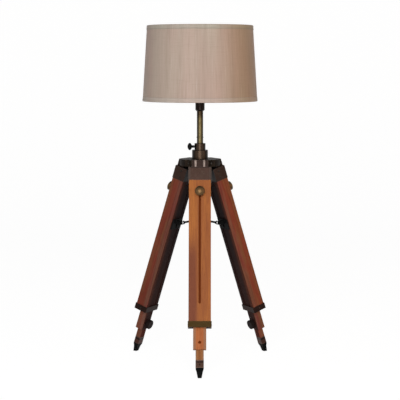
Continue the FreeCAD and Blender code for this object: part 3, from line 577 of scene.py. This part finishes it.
# The boss and collar darken towards their rims with a painted dark reflection.
head_bronze = finish("head_bronze", (0.041, 0.026, 0.017), (0.054, 0.036, 0.024),
                     (0.13, 0.10, 0.075), edge=0.5, rough=0.26, metallic=0.95, gloss=0.2, rim=0.8)
disc_bronze = finish("disc_bronze", (0.009, 0.006, 0.0045), (0.030, 0.020, 0.013),
                     (0.060, 0.048, 0.034), edge=0.7, rough=0.55, metallic=0.55, gloss=0.03)
band_bronze = finish("band_bronze", (0.024, 0.014, 0.0045), (0.030, 0.018, 0.005),
                     (0.06, 0.042, 0.016), edge=0.6, rough=0.45, metallic=0.8, gloss=0.05)
band_dark = finish("band_dark", (0.016, 0.008, 0.006), (0.034, 0.013, 0.010),
                   (0.05, 0.035, 0.03), edge=0.5, rough=0.5, metallic=0.6, gloss=0.06)
screw_steel = finish("screw_steel", (0.016, 0.013, 0.011), (0.025, 0.02, 0.015),
                     (0.08, 0.07, 0.06), gloss=0.2)
for side in sides:
    dress(cap_finish(side), f"leg_cap_{side}")
    dress(band_bronze if side == "front" else band_dark, f"leg_band_{side}")
dress(disc_bronze, "head_disc")
dress(head_bronze, "head_boss", "clamp_collar")
dress(screw_steel, "hinge_bolts", "hinge_nuts", "spreader_pins")

# ---- Slot knobs
# Turned brass knobs gone olive with age, with domed faces. Each has a stud that goes through
# its leg's slot and clamps the middle section.
# Each knob darkens towards its rim with a painted dark reflection.
knob_brass = finish("knob_brass", (0.105, 0.058, 0.024), (0.072, 0.044, 0.019),
                    (0.24, 0.16, 0.09), edge=0.6, rough=0.36, metallic=0.95, rim=0.4)
dress(knob_brass, *(f"slot_knob_{side}" for side in sides))

# ---- Spreader, thumbscrew and foot knobs
# Blackened steel arms, pinned to a bracket on each leg and to the hub between them. The turned
# thumbscrew and the grooved foot knobs, each on its screw, are black too.
black_metal = finish("black_metal", (0.006, 0.006, 0.006), (0.008, 0.008, 0.008),
                     (0.020, 0.019, 0.018), edge=0.6, rough=0.6, metallic=0.0, gloss=0.04)
grip_black = finish("grip_black", (0.010, 0.006, 0.0055), (0.014, 0.009, 0.008),
                    (0.03, 0.024, 0.022), edge=0.4, rough=0.6, metallic=0.0, gloss=0.06)
dress(black_metal, "spreader_hub", "stem_thumbscrew")
for side in sides:
    dress(black_metal, f"spreader_arm_{side}", f"spreader_bracket_{side}")
    dress(grip_black, f"foot_knob_{side}")

# ---- Ferrules and foot tips
# A turned ferrule in brown bronze is riveted on each foot rod, with a pale rim at either end
# and a dark rolled ring; a black steel point stands under it.
ferrule_from_hinge = 0.4282

# The ferrule's marks, in metres down from its top.
upper_rim_end = (0.0026, 0.0018)
ring_start = (0.0026, 0.0034)
ring_end = (0.0074, 0.0064)
lower_rim_start = (0.0154, 0.0160)

ferrule_brown = (0.024, 0.012, 0.008)
ferrule_red = (0.045, 0.018, 0.013)
ferrule_thin_share = 1.4
ferrule_pale = (0.070, 0.040, 0.030, 1.0)
ferrule_ring = (0.009, 0.004, 0.003, 1.0)


def ferrule_marks_group():
    """A pale upper rim, a dark rolled ring under it and a pale lower rim, by distance down."""
    group, add, given, result, link = new_group(
        "ferrule_marks",
        [("Color", "Color"), ("Down", "Vector"), ("Top Down", "Float"), ("Pale", "Color"),
         ("Ring", "Color")],
        [("Color", "Color")])
    down = reach(add, add("TexCoord").outputs["Object"], given["Down"])
    from_top = worked(add, "SUBTRACT", down, given["Top Down"])
    upper_rim = stepped(add, from_top, *upper_rim_end)
    ring = times(add, stepped(add, from_top, *ring_start), stepped(add, from_top, *ring_end))
    lower_rim = stepped(add, from_top, *lower_rim_start)
    colour = mixed(add, times(add, upper_rim, 0.7), given["Color"], given["Pale"])
    colour = mixed(add, times(add, ring, 0.85), colour, given["Ring"])
    colour = mixed(add, times(add, lower_rim, 0.6), colour, given["Pale"])
    link(colour, result["Color"])
    return group


ferrule_marks = ferrule_marks_group()


def ferrule_finish(side):
    """Bronze for one leg's ferrule; on the side legs it is as red as the rod above it."""
    main = ferrule_brown if side == "front" else ferrule_red
    down = leg_axes(side)[0]

    def marked(add, colour):
        return add("Group", {
            "Color": colour, "Down": down, "Pale": ferrule_pale, "Ring": ferrule_ring,
            "Top Down": leg_hinge(side).dot(down) + ferrule_from_hinge,
        }, node_tree=ferrule_marks).outputs["Color"]
    return paint_over(
        finish(f"ferrule_bronze_{side}", main, tuple(ferrule_thin_share * part for part in main),
               (0.12, 0.09, 0.07), rough=0.45, gloss=0.2), marked)


tip_black = finish("tip_black", (0.004, 0.004, 0.004), (0.006, 0.006, 0.0055),
                   (0.018, 0.018, 0.017), edge=0.5, rough=0.5, metallic=0.0, gloss=0.02)
for side in sides:
    dress(ferrule_finish(side), f"foot_ferrule_{side}")
    dress(tip_black, f"foot_tip_{side}")


# ---- Screws, rivets and screw caps
# Small domed steel screws hold the caps and pin the bands, a dark rivet goes through each
# ferrule, and a brown cap covers the end of each foot screw and turns with it.
button_sides = 24
button_root = 0.0001
button_dome = ((1.0, 0.45), (0.93, 0.75), (0.78, 0.92), (0.4, 1.0))
cap_half_width = leg_half_width + 0.00115
cap_screws_outward = -0.003
cap_screw_drops = (0.0175, 0.0315)
band_half_width = leg_half_width + 0.0015
band_drop = 0.3541
ferrule_face = 0.00125
rivet_drop = ferrule_from_hinge + 0.0105
foot_screw_face = 0.0054
foot_screw_drop = 0.3919


def leg_point(side, outward, sideways, drop):
    """A place on a leg, by its distances from the leg's centre line and from its hinge."""
    down, across, out = leg_axes(side)
    return leg_hinge(side) + out * (outward - hinge_offset) + across * sideways + down * drop


def button(name, body, place, direction, radius, height, material):
    """A low dome set on a face."""
    build = bmesh.new()
    turn = direction.normalized().to_track_quat("Z", "Y")
    profile = [(radius, -button_root)]
    profile += [(share * radius, rise * height) for share, rise in button_dome]
    rings = []
    for r, z in profile:
        ring = []
        for i in range(button_sides):
            angle = 2 * math.pi * i / button_sides
            spot = Vector((r * math.cos(angle), r * math.sin(angle), z))
            ring.append(build.verts.new(place + turn @ spot))
        rings.append(ring)
    for lower, upper in zip(rings, rings[1:]):
        for i in range(button_sides):
            k = (i + 1) % button_sides
            build.faces.new((lower[i], lower[k], upper[k], upper[i])).smooth = True
    build.faces.new(rings[-1]).smooth = True
    build.faces.new(rings[0][::-1])
    bmesh.ops.recalc_face_normals(build, faces=build.faces)
    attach(mesh_object(name, build, material), body)


rivet_dark = finish("rivet_dark", (0.010, 0.0035, 0.002), (0.016, 0.006, 0.004),
                    (0.06, 0.03, 0.02), edge=0.6, rough=0.5, metallic=0.6, gloss=0.1)
screw_cap_brown = finish("screw_cap_brown", (0.16, 0.028, 0.002), (0.12, 0.022, 0.002),
                         (0.22, 0.07, 0.02), edge=0.5, rough=0.6, metallic=0.0, gloss=0.04)
for side in sides:
    across, out = leg_axes(side)[1:]
    for way, flank in ((-1, "a"), (1, "b")):
        for row, drop in enumerate(cap_screw_drops):
            button(f"cap_screw_{side}_{flank}{row}", f"leg_{side}",
                   leg_point(side, cap_screws_outward, way * cap_half_width, drop),
                   across * way, radius=0.0021, height=0.0007, material=screw_steel)
        button(f"band_pin_{side}_{flank}", f"leg_{side}",
               leg_point(side, 0.0, way * band_half_width, band_drop),
               across * way, radius=0.0014, height=0.0004, material=screw_steel)
    button(f"ferrule_rivet_{side}", f"foot_{side}",
           leg_point(side, ferrule_face, 0.0, rivet_drop),
           out, radius=0.0016, height=0.0005, material=rivet_dark)
    button(f"foot_screw_cap_{side}", f"foot_knob_{side}",
           leg_point(side, foot_screw_face, 0.0, foot_screw_drop),
           out, radius=0.0032, height=0.0014, material=screw_cap_brown)


# ---- Stem
# Antique brass tube, polished where hands slide it, with a painted shadow of the shade near the
# lampholder; its stop ring is the same metal, and a rubber bush closes the lower end.
shade_shadow_heights = (0.538, 0.553)
shade_shadow_share = 0.9
stem_painted_shadow = (0.020, 0.012, 0.007, 1.0)


def shadowed_upwards(add, colour):
    """Painted shadow of the shade that comes over the brass near the lampholder."""
    height = add("SeparateXYZ", {0: add("TexCoord").outputs["Object"]}).outputs[2]
    painted_shade = stepped(add, height, *shade_shadow_heights, 0.0, shade_shadow_share)
    return mixed(add, painted_shade, colour, stem_painted_shadow)


# It darkens towards its rim with a painted dark reflection, and near the lampholder with painted
# shadow.
stem_brass = paint_over(
    finish("stem_brass", (0.092, 0.071, 0.034), (0.072, 0.052, 0.021), (0.2, 0.16, 0.09),
           edge=0.5, rough=0.24, metallic=1.0, bump_strength=0.05, rim=0.75), shadowed_upwards)
dress(stem_brass, "stem_tube", "stop_ring")
rubber = finish("grommet_rubber", (0.02, 0.02, 0.02), (0.03, 0.03, 0.03), (0.05, 0.05, 0.05),
                edge=0.3, rough=0.7, metallic=0.0)
dress(rubber, "cord_grommet")

# ---- Lampholder and bulb
# A dark bronze cap with a black moulded shell and rings; inside it a pale insulating block and
# the spring contact. The bulb is clear glass with yellow filaments on a glass post.
holder_bronze = finish("holder_bronze", (0.011, 0.007, 0.006), (0.016, 0.011, 0.009),
                       (0.04, 0.03, 0.024), edge=0.6, rough=0.35, gloss=0.15)
dress(holder_bronze, "lampholder_cap")
holder_black = finish("holder_black", (0.015, 0.014, 0.014), (0.02, 0.019, 0.018),
                      (0.05, 0.05, 0.05), edge=0.4, rough=0.35, metallic=0.0)
dress(holder_black, "lampholder_shell", "shade_nuts")
insulator = finish("insulator", (0.75, 0.72, 0.66), (0.68, 0.65, 0.6), (0.8, 0.78, 0.72),
                   edge=0.3, rough=0.3, metallic=0.0)
dress(insulator, "lampholder_insert")
contact_brass = finish("contact_brass", (0.55, 0.40, 0.17), (0.45, 0.32, 0.14),
                       (0.7, 0.55, 0.3), edge=0.5, rough=0.25, metallic=1.0)
dress(contact_brass, "lampholder_contact")
bulb_cap_metal = finish("bulb_cap_metal", (0.62, 0.62, 0.61), (0.52, 0.52, 0.5),
                        (0.8, 0.8, 0.8), edge=0.5, rough=0.25, metallic=1.0)
dress(bulb_cap_metal, "bulb_cap")
filament_yellow = finish("filament_yellow", (0.85, 0.62, 0.22), (0.8, 0.55, 0.2),
                         (0.9, 0.75, 0.4), edge=0.2, rough=0.5, metallic=0.0)
dress(filament_yellow, "bulb_filament")


def clear_glass():
    """Thin clear glass with faint unevenness."""
    material = bpy.data.materials.new("bulb_clear_glass")
    add = bare(material)
    flow = clouds(add, add("TexCoord").outputs["Object"], 25.0, 2.0, roughness=0.5)
    bump = add("Bump", {"Height": flow, "Strength": 0.05, "Distance": 0.0005})
    shader = add("BsdfPrincipled", {
        "Base Color": pure_white, "Roughness": 0.02, "IOR": 1.45,
        "Transmission Weight": 1.0, "Metallic": 0.0, "Normal": bump.outputs[0]})
    add("OutputMaterial", {"Surface": shader.outputs[0]})
    return material


dress(clear_glass(), "bulb_glass")

# ---- Shade frame and liner
# White coated wire rings and spider, spot-welded together and held under the shade nuts, inside
# a stiff cone of white laminate that the silk is stretched on.
wire_white = finish("wire_white", (0.68, 0.67, 0.64), (0.6, 0.59, 0.56), (0.75, 0.74, 0.72),
                    edge=0.3, rough=0.4, metallic=0.0)
dress(wire_white, "shade_spider", "shade_lower_ring", "shade_upper_ring")
liner_white = finish("liner_white", (0.72, 0.69, 0.63), (0.66, 0.63, 0.57), (0.78, 0.75, 0.7),
                     edge=0.2, rough=0.6, metallic=0.0)
dress(liner_white, "shade_liner")


# ---- Shade fabric and tapes
# Taupe slub silk stretched on the liner, its thick yarns running up the shade; folded tapes of
# the same silk bind both edges, each with stitched lines, and the lower one with painted shade
# along its upper edge.
shade_bottom_radius = 0.127
shade_top_radius = 0.117
shade_low, shade_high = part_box("shade_fabric")
shade_bottom = shade_low.z
shade_top = shade_high.z
shade_facets = 192
skin_rows = 40
skin_thickness = 0.0006
skin_wobble = 0.0003
wobble_scale = 6
tape_height = 0.010
tape_thickness = 0.0004
tape_bevel = 0.0003
tape_bulge = 0.0001
tape_bend_from = 0.0012
fold_depth = 0.0062
fold_from = 0.0008
fold_overhang = 0.0004
fold_steps = 8
# Points of the tape's inner run, in metres in from the edge's radius and then from the edge:
# along the inside, back beside itself and down to the silk.
tape_lining = ((0.0062, 0.0020), (0.0062, 0.0065), (0.0019, 0.0085), (0.0017, 0.0079),
               (0.0057, 0.0059), (0.0057, 0.0020), (0.0016, 0.0003), (0.0004, 0.0005))
upper_stitch = shade_top - 0.0086
# The lower tape's first line lies on its upper edge and is painted shade along it; the second is
# stitching.
lower_edge_shade_and_stitch = (shade_bottom + 0.0097, shade_bottom + 0.0044)
yarn_spacing = 0.0007
cloud_layer = 0.37

# Edges of the lines, in metres from one of the dark lines and in radians from the back seam; the
# painted shade down one side starts and ends by radians from the front.
stitch_edge = (0.0009, 0.0003)
seam_edge = (0.0075, 0.004)
overlap_edge = (0.066, 0.062)
side_shade_from = (0.15, 0.95)
side_shade_until = (2.6, 1.9)
# The tint of the painted shade down one side of the shade.
silk_side_shade = (0.85, 0.74, 0.59)
silk_fleck = (0.75, 0.68, 0.6, 1.0)


def silk_group():
    """Slub silk from the arc length round the shade and the height."""
    group, add, given, result, link = new_group(
        "slub_silk",
        [("Main", "Color"), ("Pink", "Color"), ("Shadow", "Color"), ("Browned", "Color"),
         ("First Stitch", "Float"), ("Second Stitch", "Float")],
        [("Color", "Color"), ("Roughness", "Float"), ("Height", "Float")])
    x, y, height = add("SeparateXYZ", {0: add("TexCoord").outputs["Object"]}).outputs
    angle = worked(add, "ARCTAN2", x, times(add, y, -1.0))
    arc = times(add, angle, shade_bottom_radius)

    def drawn(around, upward, detail):
        """Clouds drawn out round the shade or up it."""
        place = add("CombineXYZ", {0: times(add, arc, around), 1: times(add, height, upward),
                                   2: cloud_layer})
        return clouds(add, place.outputs[0], 1.0, detail, roughness=0.55)

    def line_at(label):
        """A thin dark line at a given height, for stitching and for painted shade at a tape's
        edge.
        """
        off_line = worked(add, "ABSOLUTE", worked(add, "SUBTRACT", height, given[label]))
        return stepped(add, off_line, *stitch_edge)

    slubs = drawn(around=650.0, upward=16.0, detail=3.0)
    weft = drawn(around=30.0, upward=900.0, detail=2.0)
    bands = drawn(around=42.0, upward=1.6, detail=2.0)
    hue = drawn(around=14.0, upward=2.5, detail=1.0)

    # Pinkish and darker bands, slubs and weft yarns, and painted shade browning one side of the
    # shade.
    colour = mixed(add, stepped(add, hue, 0.38, 0.66, 0.0, 0.8), given["Main"], given["Pink"])
    colour = mixed(add, stepped(add, bands, 0.45, 0.75, 0.0, 0.35), colour, given["Shadow"])
    colour = mixed(add, stepped(add, slubs, 0.50, 0.75, 0.0, 0.4), colour, given["Shadow"])
    colour = mixed(add, stepped(add, slubs, 0.42, 0.25, 0.0, 0.25), colour, silk_fleck)
    colour = mixed(add, stepped(add, weft, 0.52, 0.75, 0.0, 0.2), colour, given["Shadow"])
    painted_shade = times(add, stepped(add, angle, *side_shade_from), stepped(add, angle, *side_shade_until))
    colour = mixed(add, painted_shade, colour, tinted(add, colour, given["Browned"]))

    # Stitched lines, painted shade along the lower tape's upper edge, and the seam where the silk
    # overlaps at the back.
    dark_lines = worked(add, "MAXIMUM", line_at("First Stitch"), line_at("Second Stitch"))
    to_back = worked(add, "SUBTRACT", math.pi, worked(add, "ABSOLUTE", angle))
    seam = stepped(add, to_back, *seam_edge)
    overlap = stepped(add, to_back, *overlap_edge)
    lines = worked(add, "MAXIMUM", times(add, dark_lines, 0.75), seam)
    link(mixed(add, times(add, lines, 0.6), colour, given["Shadow"]), result["Color"])

    # The weave, the slubs and the overlap stand up; the lines are pulled in.
    warp_lines, weft_lines = (
        worked(add, "SINE", times(add, along, 2 * math.pi / yarn_spacing))
        for along in (arc, height))
    weave = times(add, warp_lines, weft_lines, 0.12)
    slubbed = worked(add, "SUBTRACT", worked(add, "ADD", slubs, overlap), lines)
    link(worked(add, "ADD", weave, slubbed), result["Height"])
    link(worked(add, "ADD", times(add, slubs, 0.2), 0.5), result["Roughness"])
    return group


slub_silk = silk_group()


def silk(name, main, pink, shadow, line_heights=(0.0,)):
    """A silk with its sheen, and dark lines at the given heights: stitching, and painted edge
    shade.
    """
    material = bpy.data.materials.new(name)
    add = bare(material)
    cloth = add("Group", {
        "Main": (*main, 1.0), "Pink": (*pink, 1.0), "Shadow": (*shadow, 1.0),
        "Browned": (*silk_side_shade, 1.0), "First Stitch": line_heights[0],
        "Second Stitch": line_heights[-1]}, node_tree=slub_silk)
    bump = add("Bump", {"Height": cloth.outputs["Height"], "Strength": 0.4, "Distance": 0.0003})
    shader = add("BsdfPrincipled", {
        "Base Color": cloth.outputs["Color"], "Roughness": cloth.outputs["Roughness"],
        "Normal": bump.outputs[0], "Sheen Weight": 0.12, "Sheen Roughness": 0.4,
        "Specular IOR Level": 0.25})
    add("OutputMaterial", {"Surface": shader.outputs[0]})
    return material


def shade_radius(z):
    """The shade's outer radius at a height."""
    share = (z - shade_bottom) / (shade_top - shade_bottom)
    return shade_bottom_radius + (shade_top_radius - shade_bottom_radius) * share


def turned(name, outline, material, wobble=0.0):
    """A closed (radius, height) outline turned about the stem."""
    build = bmesh.new()
    rings = []
    for i in range(shade_facets):
        angle = 2 * math.pi * i / shade_facets
        ring = []
        for radius, z in outline:
            spot = Vector([wobble_scale * part for part in (math.cos(angle), math.sin(angle), z)])
            r = radius + wobble * noise.noise(spot)
            ring.append(build.verts.new((r * math.sin(angle), -r * math.cos(angle), z)))
        rings.append(ring)
    count = len(outline)
    for i in range(shade_facets):
        here, there = rings[i], rings[(i + 1) % shade_facets]
        for j in range(count):
            k = (j + 1) % count
            build.faces.new((here[j], there[j], there[k], here[k])).smooth = True
    bmesh.ops.recalc_face_normals(build, faces=build.faces)
    return mesh_object(name, build, material)


silk_main = silk("silk_skin", (0.50, 0.40, 0.325), (0.52, 0.365, 0.305), (0.33, 0.25, 0.19))
silk_upper = silk("silk_upper_tape", (0.465, 0.420, 0.346), (0.487, 0.385, 0.328),
                  (0.33, 0.27, 0.21), (upper_stitch,))
silk_lower = silk("silk_lower_tape", (0.530, 0.460, 0.392), (0.560, 0.425, 0.370),
                  (0.40, 0.32, 0.26), lower_edge_shade_and_stitch)

outer = []
for j in range(skin_rows + 1):
    z = shade_bottom + (shade_top - shade_bottom) * j / skin_rows
    outer.append((shade_radius(z) - tape_thickness, z))
inner = [(r - skin_thickness, z) for r, z in reversed(outer)]
skin = turned("shade_skin", outer + inner, silk_main, wobble=skin_wobble)
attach(skin, "stem")
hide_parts("shade_fabric")


def bound_edge(name, edge_z, up, node, material):
    """A folded tape round one edge: down the outside, round the wire ring and up the inside."""
    edge = shade_radius(edge_z)
    half_fold = fold_depth / 2
    z_out = edge_z + up * tape_height
    outline = [(shade_radius(z_out) - tape_thickness, z_out),
               (shade_radius(z_out), z_out - up * tape_bevel),
               (edge + tape_bulge, edge_z + up * tape_bend_from)]
    for step in range(1, fold_steps):
        angle = step / fold_steps * math.pi
        drop = (fold_from + fold_overhang) * math.sin(angle)
        outline.append((edge - half_fold + half_fold * math.cos(angle),
                        edge_z + up * (fold_from - drop)))
    outline += [(edge - inward, edge_z + up * height) for inward, height in tape_lining]
    tape = turned(name, outline, material)
    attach(tape, "stem")
    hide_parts(node)
    return tape


lower_tape = bound_edge("lower_edge_tape", shade_bottom, 1, "shade_lower_tape", silk_lower)
upper_tape = bound_edge("upper_edge_tape", shade_top, -1, "shade_upper_tape", silk_upper)
